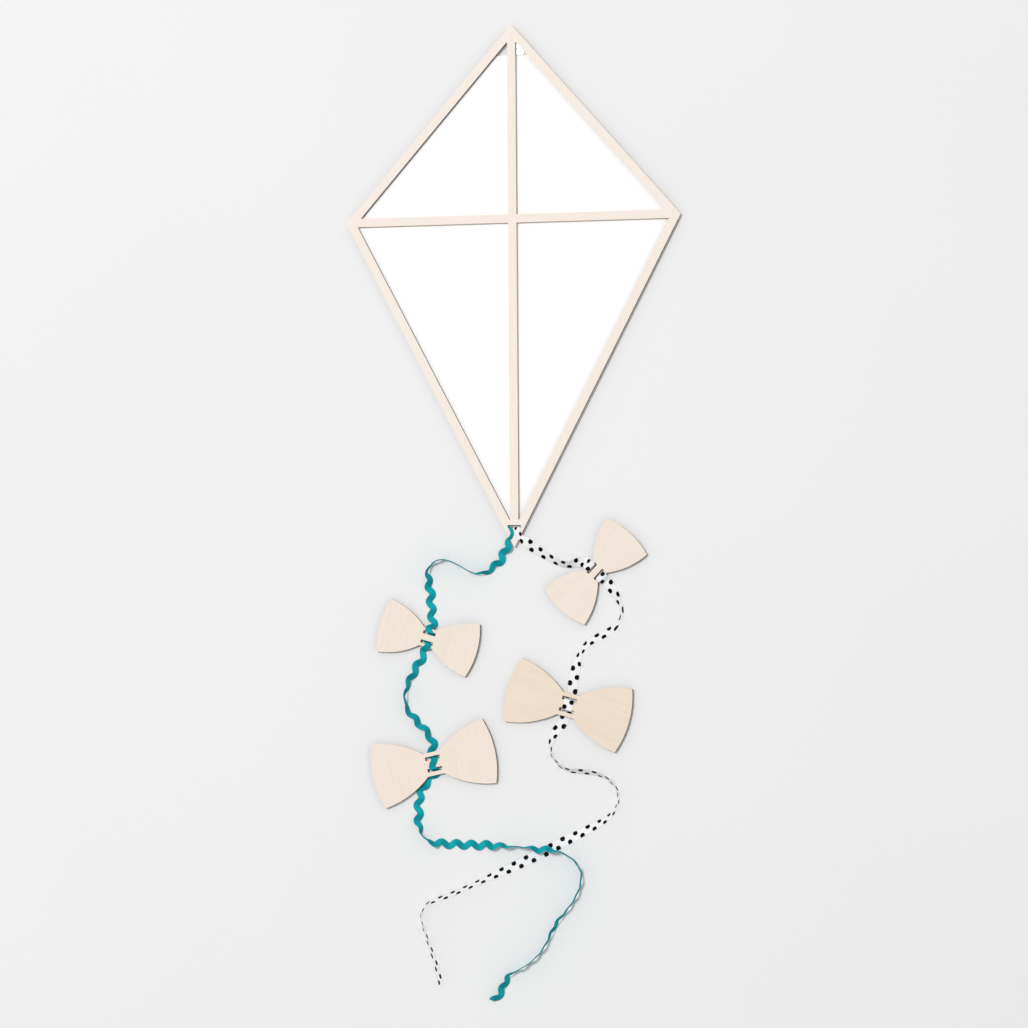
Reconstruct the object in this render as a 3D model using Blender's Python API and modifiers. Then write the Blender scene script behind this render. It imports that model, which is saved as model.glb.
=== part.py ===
"""A diamond kite ornament lying on its back: a plywood frame, a card sail, two ribbon tails and
four plywood bows that are threaded on the ribbons.

Metres, +Z up out of the kite's front, +Y towards the nose. The origin is on the back of the sail,
under the crossing of the spine and the spar."""

import math

import bmesh
import bpy
from mathutils import Vector

# ---------------------------------------------------------------- driving sizes
HALF_SPAN = 0.1525  # crossing to either side corner
NOSE_LENGTH = 0.1767  # crossing to the nose
TAIL_LENGTH = 0.2968  # crossing to the tail tip
STICK_WIDTH = 0.0076  # spine, spar and the four edges
PLY = 0.0030
SAIL_THICKNESS = 0.0012
SAIL_MARGIN = 0.0015  # the sail stops this far inside the frame's edge
GAP = 0.0003  # glue line or running gap between touching pieces
CORNER_RADIUS = 0.0008
WINDOW_RADIUS = 0.0003
SLOT_RADIUS = 0.0004
WELD = 0.00001

TAIL_SLOT_PLAY = 0.0008  # the slot is this much longer than the two ribbons side by side
TAIL_SLOT_WIDTH = 0.0028
TAIL_SLOT_WEB = 0.0035  # wood between the foot of the lower windows and the slot

PLATE_LEFT = 0.0040  # the hanger plate, left and right of the spine's middle line
PLATE_RIGHT = 0.0107
PLATE_HEIGHT = 0.0140
PLATE_TOP_BELOW_NOSE = 0.0137
PLATE_THICKNESS = 0.0005
NAIL_RADIUS = 0.0006
NAIL_HEAD_RADIUS = 0.0015
NAIL_HEAD_THICKNESS = 0.0004
NAIL_BITE = 0.0020  # depth of a nail in the wood
NAIL_DROPS = (0.0030, 0.0105)  # down the spine's middle line from the plate's top edge

RIBBON_THICKNESS = 0.0006
TEAL_WIDTH = 0.0100
DOTTED_WIDTH = 0.0095
GATHERED_WIDTH = 0.0054  # each ribbon where it is pinched in the tail slot
GATHERED_APART = 0.0004  # between the two pinched ribbons
FAN_OUT = 0.0080  # a ribbon is back at its own width this far from the slot
GLUED_LENGTH = 0.0065  # ribbon end glued behind the tail tip
FOLD_LENGTH = 0.0030  # straight ribbon before and after the turn through the slot
WEAVE_CLIMB = 0.0020  # length in which a ribbon climbs through a bow's slot
WEAVE_BEYOND = {"outer": 0.0050, "middle": -0.0030}  # from the waist to where the weave piece ends
FLOOR_LIFT = 0.0001
STEP = 0.0060  # spacing of a ribbon's sections along its run

# Plan sizes of a bow: overall half length to the end chord, end width, how far the ends and the
# long edges bulge, the waist, and the two slots on either side of the middle bar. The waist and
# the slots are longer than the wider ribbon by their play.
LARGE_BOW = {
    "half_length": 0.0517,
    "end_width": 0.0588,
    "end_bulge": 0.0052,
    "edge_bulge": 0.0036,
    "waist_play": 0.0050,
    "waist_width": 0.0210,
    "slot_play": 0.0036,
    "slot_width": 0.0032,
    "middle_bar": 0.0074,
}
SMALL_BOW = {
    "half_length": 0.0421,
    "end_width": 0.0490,
    "end_bulge": 0.0042,
    "edge_bulge": 0.0030,
    "waist_play": 0.0022,
    "waist_width": 0.0170,
    "slot_play": 0.0016,
    "slot_width": 0.0028,
    "middle_bar": 0.0058,
}
# Name, sizes, centre from the tail tip, direction of the long axis in degrees, and whether the
# ribbon lies over the middle bar or over the two outer bars.
BOWS = {
    "bow_teal_upper": (SMALL_BOW, (-0.0792, -0.0797), -16.5, "outer"),
    "bow_teal_lower": (LARGE_BOW, (-0.0746, -0.1923), 12.5, "middle"),
    "bow_dotted_upper": (SMALL_BOW, (0.0729, -0.0221), 47.5, "outer"),
    "bow_dotted_lower": (LARGE_BOW, (0.0473, -0.1408), -16.0, "middle"),
}

# The ribbons' free runs: x and y in millimetres from the tail tip, the lean of the ribbon in degrees
# (0 lies flat, 90 stands on its edge, positive lifts the left edge), and how high it is held, from
# 0 on the floor to 1 on top of the plywood.
TEAL_HEAD = [
    (-3.2, 9.3, 0, 1), (-6.2, 3.0, 0, 0.95), (-9.2, -3.2, 0, 0.55), (-12.2, -9.2, -10, 0.18),
    (-16.5, -14.2, -32, 0), (-22.0, -19.2, -50, 0), (-28.0, -22.2, -66, 0),
    (-34.5, -22.7, -82, 0), (-41.5, -20.2, -90, 0), (-48.5, -16.2, -88, 0),
    (-56.0, -12.2, -86, 0), (-63.5, -9.7, -88, 0), (-71.0, -10.7, -90, 0),
    (-77.0, -15.2, -90, 0), (-79.5, -21.7, -76, 0), (-78.5, -28.7, -38, 0),
    (-77.5, -37.2, -8, 0), (-77.0, -47.2, 0, 0), (-76.5, -56.7, 0, 0),
]
TEAL_MIDDLE = [
    (-86.0, -98.2, -8, 0), (-90.0, -105.7, -24, 0), (-94.0, -113.2, -40, 0),
    (-97.5, -120.7, -56, 0), (-100.0, -127.7, -76, 0), (-100.5, -134.2, -88, 0),
    (-99.3, -141.4, -68, 0), (-95.3, -147.9, -48, 0), (-90.6, -153.7, -36, 0),
    (-85.6, -158.9, -38, 0), (-80.6, -164.4, -44, 0), (-77.2, -170.0, -38, 0),
    (-75.9, -174.7, -16, 0), (-76.6, -180.8, 0, 0),
]
TEAL_END = [
    (-75.2, -203.5, 0, 0), (-79.2, -206.9, 0, 0), (-83.2, -211.2, 0, 0),
    (-86.6, -217.0, 0, 0), (-88.8, -224.4, 0, 0), (-89.3, -232.6, 0, 0),
    (-89.2, -240.0, -14, 0), (-88.5, -246.7, -42, 0),
    (-86.5, -253.7, -84, 0), (-82.5, -259.2, -90, 0), (-77.0, -262.2, -58, 0),
    (-69.5, -263.7, -14, 0), (-60.0, -264.2, 0, 0), (-48.5, -264.7, 0, 0),
    (-37.0, -265.2, -2, 0), (-25.5, -265.2, -20, 0), (-15.0, -265.7, -50, 0),
    (-4.5, -266.2, -82, 0), (5.0, -266.7, -88, 0.12), (13.0, -267.7, -66, 0.25),
    (20.0, -268.7, -36, 0.29), (28.0, -269.2, -44, 0.29), (36.0, -270.2, -80, 0.29),
    (44.0, -273.2, -88, 0.21), (51.5, -278.7, -88, 0.08), (57.0, -286.7, -88, 0),
    (58.0, -296.2, -87, 0), (55.0, -306.7, -86, 0), (49.0, -317.2, -86, 0),
    (41.5, -326.7, -80, 0), (35.5, -334.2, -68, 0), (31.5, -341.7, -72, 0),
    (27.5, -349.7, -84, 0), (22.0, -358.7, -86, 0), (14.5, -366.7, -88, 0),
    (5.5, -373.2, -88, 0), (-3.0, -377.7, -82, 0), (-9.0, -382.2, -56, 0),
    (-12.0, -388.7, -40, 0), (-15.5, -396.2, -38, 0), (-22.5, -403.7, -38, 0),
]
DOTTED_HEAD = [
    (5.0, 9.8, 0, 1), (11.0, 4.8, 6, 0.88), (19.0, -1.4, 22, 0.25),
    (27.5, -6.8, 36, 0), (35.5, -11.6, 48, 0), (43.0, -14.9, 54, 0),
    (50.0, -15.6, 50, 0), (56.5, -14.2, 22, 0),
]
DOTTED_MIDDLE = [
    (87.4, -37.7, 26, 0), (91.8, -44.2, 42, 0), (95.1, -51.2, 56, 0),
    (96.6, -58.2, 62, 0), (95.5, -64.4, 66, 0), (92.3, -69.6, 56, 0),
    (87.0, -74.2, 42, 0), (81.0, -77.7, 40, 0), (74.0, -81.2, 38, 0),
    (67.0, -85.2, 42, 0), (61.5, -90.7, 52, 0), (58.0, -97.2, 50, 0),
    (55.3, -104.7, 22, 0), (53.3, -112.2, 6, 0), (51.8, -119.2, 0, 0),
    (50.6, -129.3, 0, 0),
]
DOTTED_END = [
    (44.0, -152.3, 0, 0), (40.5, -158.7, 8, 0), (36.0, -164.2, 26, 0), (33.0, -170.2, 44, 0),
    (31.5, -176.7, 60, 0), (32.0, -183.2, 70, 0), (35.0, -189.7, 70, 0), (40.5, -195.2, 70, 0),
    (47.0, -198.7, 68, 0), (54.5, -199.7, 62, 0), (62.0, -200.2, 60, 0), (69.0, -201.2, 62, 0),
    (76.0, -203.2, 68, 0), (82.5, -206.7, 70, 0), (88.0, -211.7, 70, 0), (91.5, -218.2, 70, 0),
    (92.0, -225.2, 70, 0), (90.0, -232.2, 70, 0), (85.5, -238.2, 60, 0), (79.5, -243.2, 52, 0),
    (71.5, -247.7, 42, 0), (62.5, -252.2, 34, 0), (53.0, -257.2, 28, 0), (43.0, -261.8, 11, 0),
    (33.0, -267.0, 0, 0), (22.0, -272.5, 2, 0), (9.5, -278.4, 14, 0), (-5.0, -285.2, 26, 0),
    (-20.0, -291.6, 46, 0), (-33.0, -297.5, 60, 0), (-46.0, -303.2, 62, 0), (-58.5, -308.6, 62, 0),
    (-70.0, -312.9, 64, 0), (-79.5, -316.7, 70, 0), (-85.5, -322.7, 70, 0), (-86.5, -331.2, 72, 0),
    (-83.0, -343.2, 66, 0), (-78.5, -356.2, 60, 0), (-73.0, -372.7, 56, 0), (-69.0, -389.2, 52, 0),
]

# ---------------------------------------------------------------- derived heights and places
PLY_BACK = SAIL_THICKNESS + GAP
PLY_FRONT = PLY_BACK + PLY
STICK_HALF = STICK_WIDTH / 2
RIBBON_LOW = FLOOR_LIFT + RIBBON_THICKNESS / 2
RIBBON_OVER_FRAME = PLY_FRONT + GAP + RIBBON_THICKNESS / 2
BOW_BACK = RIBBON_LOW + RIBBON_THICKNESS / 2 + GAP
RIBBON_OVER_BOW = BOW_BACK + PLY + GAP + RIBBON_THICKNESS / 2
WIDEST_RIBBON = max(TEAL_WIDTH, DOTTED_WIDTH)
TAIL_SLOT_LENGTH = 2 * GATHERED_WIDTH + GATHERED_APART + TAIL_SLOT_PLAY

# ---------------------------------------------------------------- scene, collections, materials
for old in list(bpy.data.objects):
    bpy.data.objects.remove(old, do_unlink=True)
parts = bpy.data.collections.new("diamond_kite")
tools = bpy.data.collections.new("cutters")
for collection in (parts, tools):
    bpy.context.scene.collection.children.link(collection)


def material(name, colour, roughness, metallic=0.0):
    """A plain Principled finish, from a linear colour."""
    made = bpy.data.materials.new(name)
    made.use_nodes = True
    shader = made.node_tree.nodes["Principled BSDF"]
    shader.inputs["Base Color"].default_value = (*colour, 1.0)
    shader.inputs["Roughness"].default_value = roughness
    shader.inputs["Metallic"].default_value = metallic
    return made


FRAME_WOOD = material("frame_plywood", (0.88, 0.79, 0.71), 0.6)
CARD = material("sail_card", (0.95, 0.95, 0.94), 0.8)
STEEL = material("plate_steel", (0.55, 0.60, 0.62), 0.4, 1.0)
NAIL_STEEL = material("nail_steel", (0.60, 0.60, 0.60), 0.35, 1.0)
TEAL_BRAID = material("teal_ricrac", (0.012, 0.32, 0.36), 0.8)
WHITE_SATIN = material("dotted_satin", (0.90, 0.90, 0.90), 0.5)


# ---------------------------------------------------------------- outlines
def arc(centre, radius, start, turn, steps):
    """Points along a circle from the start angle through the turn, both in radians."""
    angles = [start + turn * i / steps for i in range(steps + 1)]
    return [Vector((centre.x + radius * math.cos(a), centre.y + radius * math.sin(a))) for a in angles]


def rounded(corners, radius, steps=4):
    """A closed outline through the corners, each one rounded to the radius."""
    outline = []
    count = len(corners)
    for i, corner in enumerate(corners):
        back = (corners[i - 1] - corner).normalized()
        ahead = (corners[(i + 1) % count] - corner).normalized()
        half = back.angle(ahead) / 2
        centre = corner + (back + ahead).normalized() * (radius / math.sin(half))
        first = corner + back * (radius / math.tan(half)) - centre
        last = corner + ahead * (radius / math.tan(half)) - centre
        turn = math.atan2(first.cross(last), first.dot(last))
        outline += arc(centre, radius, math.atan2(first.y, first.x), turn, steps)
    return outline


def bulged(start, end, bulge, steps=14):
    """Points from start up to end along an arc that stands out to the right of the run."""
    chord = end - start
    radius = (chord.length**2 / 4 + bulge**2) / (2 * bulge)
    outward = Vector((chord.y, -chord.x)).normalized()
    centre = (start + end) / 2 - outward * (radius - bulge)
    first = start - centre
    last = end - centre
    turn = math.atan2(first.cross(last), first.dot(last))
    return arc(centre, radius, math.atan2(first.y, first.x), turn, steps)[:-1]


def meet(point_a, direction_a, point_b, direction_b):
    """Where two straight lines cross."""
    along = (point_b - point_a).cross(direction_b) / direction_a.cross(direction_b)
    return point_a + direction_a * along


def slot(middle, length, width):
    """A slot's outline, long way along x."""
    signs = ((-1, -1), (1, -1), (1, 1), (-1, 1))
    return rounded([middle + Vector((sx * length / 2, sy * width / 2)) for sx, sy in signs], SLOT_RADIUS, 2)


def flat_piece(name, outline, thickness, bottom, finish, collection=parts):
    """A sheet of the outline's shape, as a mesh with its caps welded on, ready to be cut."""
    curve = bpy.data.curves.new(name, "CURVE")
    curve.dimensions = "2D"
    curve.fill_mode = "BOTH"
    curve.extrude = thickness / 2
    spline = curve.splines.new("POLY")
    spline.points.add(len(outline) - 1)
    for point, spot in zip(spline.points, outline):
        point.co = (spot.x, spot.y, 0.0, 1.0)
    spline.use_cyclic_u = True
    guide = bpy.data.objects.new(f"{name}_outline", curve)
    collection.objects.link(guide)
    bpy.context.view_layer.update()
    mesh = bpy.data.meshes.new_from_object(guide.evaluated_get(bpy.context.evaluated_depsgraph_get()))
    bpy.data.objects.remove(guide, do_unlink=True)
    shape = bmesh.new()
    shape.from_mesh(mesh)
    bmesh.ops.remove_doubles(shape, verts=shape.verts, dist=WELD)
    bmesh.ops.recalc_face_normals(shape, faces=shape.faces)
    shape.to_mesh(mesh)
    shape.free()
    piece = bpy.data.objects.new(name, mesh)
    piece.location = (0.0, 0.0, bottom + thickness / 2)
    mesh.materials.clear()
    mesh.materials.append(finish)
    collection.objects.link(piece)
    return piece


def cut(piece, cutter, operation="DIFFERENCE"):
    """Takes the cutter's shape away from the piece, or joins it on."""
    cutter.hide_render = True
    cutter.display_type = "WIRE"
    step = piece.modifiers.new(cutter.name, "BOOLEAN")
    step.operation = operation
    step.solver = "EXACT"
    step.object = cutter


def open_up(piece, outlines, thickness):
    """Cuts openings through a flat piece. The cutters hang on the piece and follow it."""
    for number, outline in enumerate(outlines, 1):
        opening = f"{piece.name}_opening_{number}"
        cutter = flat_piece(opening, outline, 2 * thickness, -thickness, piece.data.materials[0], tools)
        cutter.parent = piece
        cut(piece, cutter)


def cylinder(name, radius, bottom, top, spot, collection, sides=20):
    """An upright round bar."""
    mesh = bpy.data.meshes.new(name)
    shape = bmesh.new()
    bmesh.ops.create_cone(
        shape, cap_ends=True, segments=sides, radius1=radius, radius2=radius, depth=top - bottom
    )
    shape.to_mesh(mesh)
    shape.free()
    bar = bpy.data.objects.new(name, mesh)
    bar.location = (spot[0], spot[1], (bottom + top) / 2)
    collection.objects.link(bar)
    return bar


# ---------------------------------------------------------------- frame and sail
NOSE = Vector((0.0, NOSE_LENGTH))
RIGHT = Vector((HALF_SPAN, 0.0))
LEFT = Vector((-HALF_SPAN, 0.0))
TAIL = Vector((0.0, -TAIL_LENGTH))


def inset_line(start, end, distance):
    """The line from start to end moved inwards, to its left: a point on it and its direction."""
    direction = (end - start).normalized()
    return start + Vector((-direction.y, direction.x)) * distance, direction


def window(side, end):
    """One of the four openings between the spine, the spar and an edge of the frame."""
    spine_side = Vector((side * STICK_HALF, 0.0)), Vector((0.0, 1.0))
    spar_side = Vector((0.0, end * STICK_HALF)), Vector((1.0, 0.0))
    corner = RIGHT if side > 0 else LEFT
    tip = NOSE if end > 0 else TAIL
    edge = inset_line(corner, tip, STICK_WIDTH) if side * end > 0 else inset_line(tip, corner, STICK_WIDTH)
    return [meet(*spine_side, *spar_side), meet(*spar_side, *edge), meet(*edge, *spine_side)]


def tail_window_foot():
    """How far down the lower windows reach."""
    return window(1, -1)[2].y


SLOT_MIDDLE = Vector((0.0, tail_window_foot() - TAIL_SLOT_WEB - TAIL_SLOT_WIDTH / 2))
diamond = rounded([NOSE, LEFT, TAIL, RIGHT], CORNER_RADIUS)
windows = [rounded(window(side, end), WINDOW_RADIUS, 2) for side in (1, -1) for end in (1, -1)]
tail_slot = slot(SLOT_MIDDLE, TAIL_SLOT_LENGTH, TAIL_SLOT_WIDTH)
frame = flat_piece("frame", diamond, PLY, PLY_BACK, FRAME_WOOD)
open_up(frame, [*windows, tail_slot], PLY)


def level_on(line, height):
    """The point of a line at the height y."""
    return meet(*line, Vector((0.0, height)), Vector((1.0, 0.0)))


plate_top = NOSE_LENGTH - PLATE_TOP_BELOW_NOSE
sail_top = plate_top - PLATE_HEIGHT - GAP
sail_foot = SLOT_MIDDLE.y + TAIL_SLOT_WIDTH / 2 + GAP
upper_right = inset_line(RIGHT, NOSE, SAIL_MARGIN)
upper_left = inset_line(NOSE, LEFT, SAIL_MARGIN)
lower_left = inset_line(LEFT, TAIL, SAIL_MARGIN)
lower_right = inset_line(TAIL, RIGHT, SAIL_MARGIN)
sail_corners = [
    level_on(upper_right, sail_top),
    level_on(upper_left, sail_top),
    meet(*upper_left, *lower_left),
    level_on(lower_left, sail_foot),
    level_on(lower_right, sail_foot),
    meet(*lower_right, *upper_right),
]
flat_piece("sail", rounded(sail_corners, CORNER_RADIUS), SAIL_THICKNESS, 0.0, CARD)

# ---------------------------------------------------------------- hanger plate and its nails
plate_bottom = SAIL_THICKNESS - PLATE_THICKNESS
plate_corners = [
    Vector((-PLATE_LEFT, plate_top - PLATE_HEIGHT)),
    Vector((PLATE_RIGHT, plate_top - PLATE_HEIGHT)),
    Vector((PLATE_RIGHT, plate_top - PLATE_HEIGHT / 2)),
    Vector((STICK_HALF, plate_top)),
    Vector((-PLATE_LEFT, plate_top)),
]
plate_outline = rounded(plate_corners, CORNER_RADIUS)
plate = flat_piece("hanger_plate", plate_outline, PLATE_THICKNESS, plate_bottom, STEEL)
for number, drop in enumerate(NAIL_DROPS, 1):
    spot = (0.0, plate_top - drop)
    nail_top = PLY_BACK + NAIL_BITE
    hole = NAIL_RADIUS + GAP
    cut(plate, cylinder(f"plate_hole_{number}", hole, -PLY, PLY_BACK, spot, tools))
    cut(frame, cylinder(f"frame_hole_{number}", hole, -PLY, nail_top + GAP, spot, tools))
    nail = cylinder(f"hanger_nail_{number}", NAIL_HEAD_RADIUS, 0.0, NAIL_HEAD_THICKNESS, spot, parts)
    shank_foot = NAIL_HEAD_THICKNESS / 2
    cut(nail, cylinder(f"nail_shank_{number}", NAIL_RADIUS, shank_foot, nail_top, spot, tools), "UNION")
    nail.data.materials.append(NAIL_STEEL)


# ---------------------------------------------------------------- bows
def bow_middle(bow):
    """A bow's centre, which lies as far from the tail tip on every size of kite."""
    return TAIL + Vector(BOWS[bow][1])


def slot_offset(sizes):
    """From a bow's middle to the middle of either slot, across the bow."""
    return (sizes["middle_bar"] + sizes["slot_width"]) / 2


def bow_outline(sizes):
    """Two wings with bulging ends and edges, joined by a straight waist, counter-clockwise."""
    wing = Vector((sizes["half_length"], sizes["end_width"] / 2))
    waist = Vector(((WIDEST_RIBBON + sizes["waist_play"]) / 2, sizes["waist_width"] / 2))
    corners = [(1, -1), (1, 1), (-1, 1), (-1, -1)]
    wings = [Vector((wing.x * sx, wing.y * sy)) for sx, sy in corners]
    waists = [Vector((waist.x * sx, waist.y * sy)) for sx, sy in corners]
    outline = bulged(wings[0], wings[1], sizes["end_bulge"])
    outline += bulged(wings[1], waists[1], sizes["edge_bulge"]) + [waists[1]]
    outline += bulged(waists[2], wings[2], sizes["edge_bulge"])
    outline += bulged(wings[2], wings[3], sizes["end_bulge"])
    outline += bulged(wings[3], waists[3], sizes["edge_bulge"]) + [waists[3]]
    outline += bulged(waists[0], wings[0], sizes["edge_bulge"])
    return outline


for name, (sizes, _, axis_degrees, _) in BOWS.items():
    offset = slot_offset(sizes)
    slot_length = WIDEST_RIBBON + sizes["slot_play"]
    openings = [slot(Vector((0.0, side * offset)), slot_length, sizes["slot_width"]) for side in (1, -1)]
    wood = material(f"{name}_plywood", (0.86, 0.74, 0.63), 0.6)
    bow = flat_piece(name, bow_outline(sizes), PLY, BOW_BACK, wood)
    open_up(bow, openings, PLY)
    bow.location.x, bow.location.y = bow_middle(name)
    bow.rotation_euler = (0.0, 0.0, math.radians(axis_degrees))


# ---------------------------------------------------------------- ribbons
def smooth_step(t):
    """0 to 1 with level ends."""
    t = min(max(t, 0.0), 1.0)
    return t * t * (3.0 - 2.0 * t)


def through(points, step):
    """Evenly spaced points on one smooth curve through the given ones."""
    knots = [0.0]
    for a, b in zip(points, points[1:]):
        knots.append(knots[-1] + math.dist(a[:2], b[:2]) ** 0.5)
    dense = []
    for i in range(len(points) - 1):
        p1, p2 = points[i], points[i + 1]
        p0 = points[i - 1] if i else [2 * a - b for a, b in zip(p1, p2)]
        p3 = points[i + 2] if i + 2 < len(points) else [2 * b - a for a, b in zip(p1, p2)]
        t0 = knots[i - 1] if i else 2 * knots[0] - knots[1]
        t1, t2 = knots[i], knots[i + 1]
        t3 = knots[i + 2] if i + 2 < len(points) else 2 * knots[-1] - knots[-2]
        for k in range(12):
            t = t1 + (t2 - t1) * k / 12
            spot = []
            for a, b, c, d in zip(p0, p1, p2, p3):
                ab = (a * (t1 - t) + b * (t - t0)) / (t1 - t0)
                bc = (b * (t2 - t) + c * (t - t1)) / (t2 - t1)
                cd = (c * (t3 - t) + d * (t - t2)) / (t3 - t2)
                abc = (ab * (t2 - t) + bc * (t - t0)) / (t2 - t0)
                bcd = (bc * (t3 - t) + cd * (t - t1)) / (t3 - t1)
                spot.append((abc * (t2 - t) + bcd * (t - t1)) / (t2 - t1))
            dense.append(spot)
    dense.append(list(points[-1]))
    reach = [0.0]
    for a, b in zip(dense, dense[1:]):
        reach.append(reach[-1] + math.dist(a[:2], b[:2]))
    count = max(2, round(reach[-1] / step))
    spaced = []
    j = 0
    for k in range(count + 1):
        want = reach[-1] * k / count
        while j < len(reach) - 2 and reach[j + 1] < want:
            j += 1
        share = (want - reach[j]) / (reach[j + 1] - reach[j])
        spaced.append([a + (b - a) * share for a, b in zip(dense[j], dense[j + 1])])
    return spaced


def free_run(route, width, first_way=None, last_way=None):
    """Sections of a ribbon that lies on the floor, each its middle, widthwise direction and width.

    The ways are the directions in which the run leaves and meets a bow's own stretch."""
    points = through([(x / 1000, TAIL.y + y / 1000, lean, height) for x, y, lean, height in route], STEP)
    sections = []
    for i, (x, y, lean, height) in enumerate(points):
        before = points[max(i - 1, 0)]
        after = points[min(i + 1, len(points) - 1)]
        ahead = Vector((after[0] - before[0], after[1] - before[1])).normalized()
        if first_way and i == 0:
            ahead = first_way
        if last_way and i == len(points) - 1:
            ahead = last_way
        tilt = math.radians(lean)
        rise = abs(math.sin(tilt)) * width / 2 + abs(math.cos(tilt)) * RIBBON_THICKNESS / 2
        widthwise = Vector((-ahead.y * math.cos(tilt), ahead.x * math.cos(tilt), math.sin(tilt)))
        lift = height * (RIBBON_OVER_FRAME - RIBBON_LOW)
        sections.append((Vector((x, y, FLOOR_LIFT + rise + lift)), widthwise, width))
    return sections


def heading(bow):
    """The way a ribbon runs through a bow, square to the bow's long axis and away from the frame."""
    turn = math.radians(BOWS[bow][2])
    return Vector((math.sin(turn), -math.cos(turn), 0.0))


def woven_half(bow):
    """Half the length of ribbon that moves with a bow."""
    return BOWS[bow][0]["waist_width"] / 2 + WEAVE_BEYOND[BOWS[bow][3]]


def woven_run(bow, width):
    """Sections of the ribbon through a bow's two slots, over the bars that it covers."""
    sizes, _, _, over = BOWS[bow]
    along = heading(bow)
    half = woven_half(bow)
    climb_start = slot_offset(sizes) - WEAVE_CLIMB / 2
    climb_end = climb_start + WEAVE_CLIMB
    bar_edge = sizes["waist_width"] / 2 + GAP
    reaches = [0.0, climb_start / 2]
    reaches += [climb_start + WEAVE_CLIMB * k / 6 for k in range(7)]
    if over == "outer":
        reaches += [(climb_end + bar_edge) / 2]
        reaches += [bar_edge + (half - bar_edge) * k / 6 for k in range(7)]
    else:
        reaches += [(climb_end + half) / 2, half]
    spots = []
    for reach in reaches:
        crossed = smooth_step((reach - climb_start) / WEAVE_CLIMB)
        if over == "outer":
            high = crossed * (1.0 - smooth_step((reach - bar_edge) / (half - bar_edge)))
        else:
            high = 1.0 - crossed
        spots.append((reach, RIBBON_LOW + (RIBBON_OVER_BOW - RIBBON_LOW) * high))
    spots = [(-reach, z) for reach, z in reversed(spots[1:])] + spots
    middle = Vector((*bow_middle(bow), 0.0))
    widthwise = Vector((-along.y, along.x, 0.0))
    return [(middle + along * reach + Vector((0.0, 0.0, z)), widthwise, width) for reach, z in spots]


def bow_ends(bow):
    """Route points just before and just after a bow's own stretch of ribbon."""
    middle = Vector(BOWS[bow][1])
    step_out = heading(bow).xy * (woven_half(bow) + GAP)
    return [tuple((middle + side * step_out) * 1000) + (0, 0) for side in (-1, 1)]


def tail_fold(side):
    """A ribbon's start: glued behind the tail tip, up through the slot and back over the wood."""
    x = side * (GATHERED_WIDTH + GATHERED_APART) / 2
    edge = SLOT_MIDDLE.y - TAIL_SLOT_WIDTH / 2
    low = SAIL_THICKNESS - RIBBON_THICKNESS / 2
    rise = (RIBBON_OVER_FRAME - low) / 2
    bulge = 2 * GAP + RIBBON_THICKNESS / 2
    spots = [(edge - GLUED_LENGTH, low), (edge - FOLD_LENGTH, low)]
    for k in range(9):
        angle = math.pi * (k / 8 - 0.5)
        spots.append((edge - GAP + (bulge + GAP) * math.cos(angle), low + rise + rise * math.sin(angle)))
    spots.append((edge - FOLD_LENGTH, RIBBON_OVER_FRAME))
    return [(Vector((x, y, z)), Vector((1.0, 0.0, 0.0)), GATHERED_WIDTH) for y, z in spots]


def fanned(fold, run, width):
    """The fold and the free run as one, the ribbon widening to its own width beyond the slot."""
    travelled = 0.0
    last = fold[-1][0]
    joined = list(fold)
    for middle, widthwise, _ in run:
        travelled += (middle - last).length
        last = middle
        share = smooth_step(travelled / FAN_OUT)
        joined.append((middle, widthwise, GATHERED_WIDTH + (width - GATHERED_WIDTH) * share))
    return joined


def ribbon(name, sections, finish, origin=(0.0, 0.0, 0.0)):
    """A strip of ribbon through the sections, thickened to both sides."""
    mesh = bpy.data.meshes.new(name)
    shape = bmesh.new()
    rails = []
    for middle, widthwise, width in sections:
        here = middle - Vector(origin)
        edge = widthwise * (width / 2)
        rails.append((shape.verts.new(here - edge), shape.verts.new(here + edge)))
    for (a, b), (c, d) in zip(rails, rails[1:]):
        shape.faces.new((a, c, d, b))
    shape.to_mesh(mesh)
    shape.free()
    strip = bpy.data.objects.new(name, mesh)
    strip.location = origin
    strip.data.materials.append(finish)
    thick = strip.modifiers.new("thickness", "SOLIDIFY")
    thick.thickness = RIBBON_THICKNESS
    thick.offset = 0.0
    parts.objects.link(strip)
    return strip


def halves(sections):
    """The sections as two runs that meet at the middle with a gap."""
    middle = len(sections) // 2
    first = list(sections[: middle + 1])
    here, widthwise, width = first[-1]
    back = (first[-2][0] - here).normalized()
    first[-1] = (here + back * GAP, widthwise, width)
    return first, sections[middle:]


def tail(name, side, width, finish, upper, lower, head, middle, end):
    """One whole ribbon tail: fold, head, weave, two middle runs, weave and free end."""
    upper_in, upper_out = bow_ends(upper)
    lower_in, lower_out = bow_ends(lower)
    upper_way, lower_way = heading(upper), heading(lower)
    run = free_run([*head, upper_in], width, None, upper_way)
    ribbon(f"{name}_head", fanned(tail_fold(side), run, width), finish)
    ribbon(f"{name}_weave_upper", woven_run(upper, width), finish, (*bow_middle(upper), BOW_BACK))
    first, second = halves(free_run([upper_out, *middle, lower_in], width, upper_way, lower_way))
    ribbon(f"{name}_middle_upper", first, finish)
    ribbon(f"{name}_middle_lower", second, finish)
    ribbon(f"{name}_weave_lower", woven_run(lower, width), finish, (*bow_middle(lower), BOW_BACK))
    ribbon(f"{name}_end", free_run([lower_out, *end], width, lower_way), finish)


tail(
    "teal_ribbon", -1, TEAL_WIDTH, TEAL_BRAID, "bow_teal_upper", "bow_teal_lower",
    TEAL_HEAD, TEAL_MIDDLE, TEAL_END,
)
tail(
    "dotted_ribbon", 1, DOTTED_WIDTH, WHITE_SATIN, "bow_dotted_upper", "bow_dotted_lower",
    DOTTED_HEAD, DOTTED_MIDDLE, DOTTED_END,
)
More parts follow.
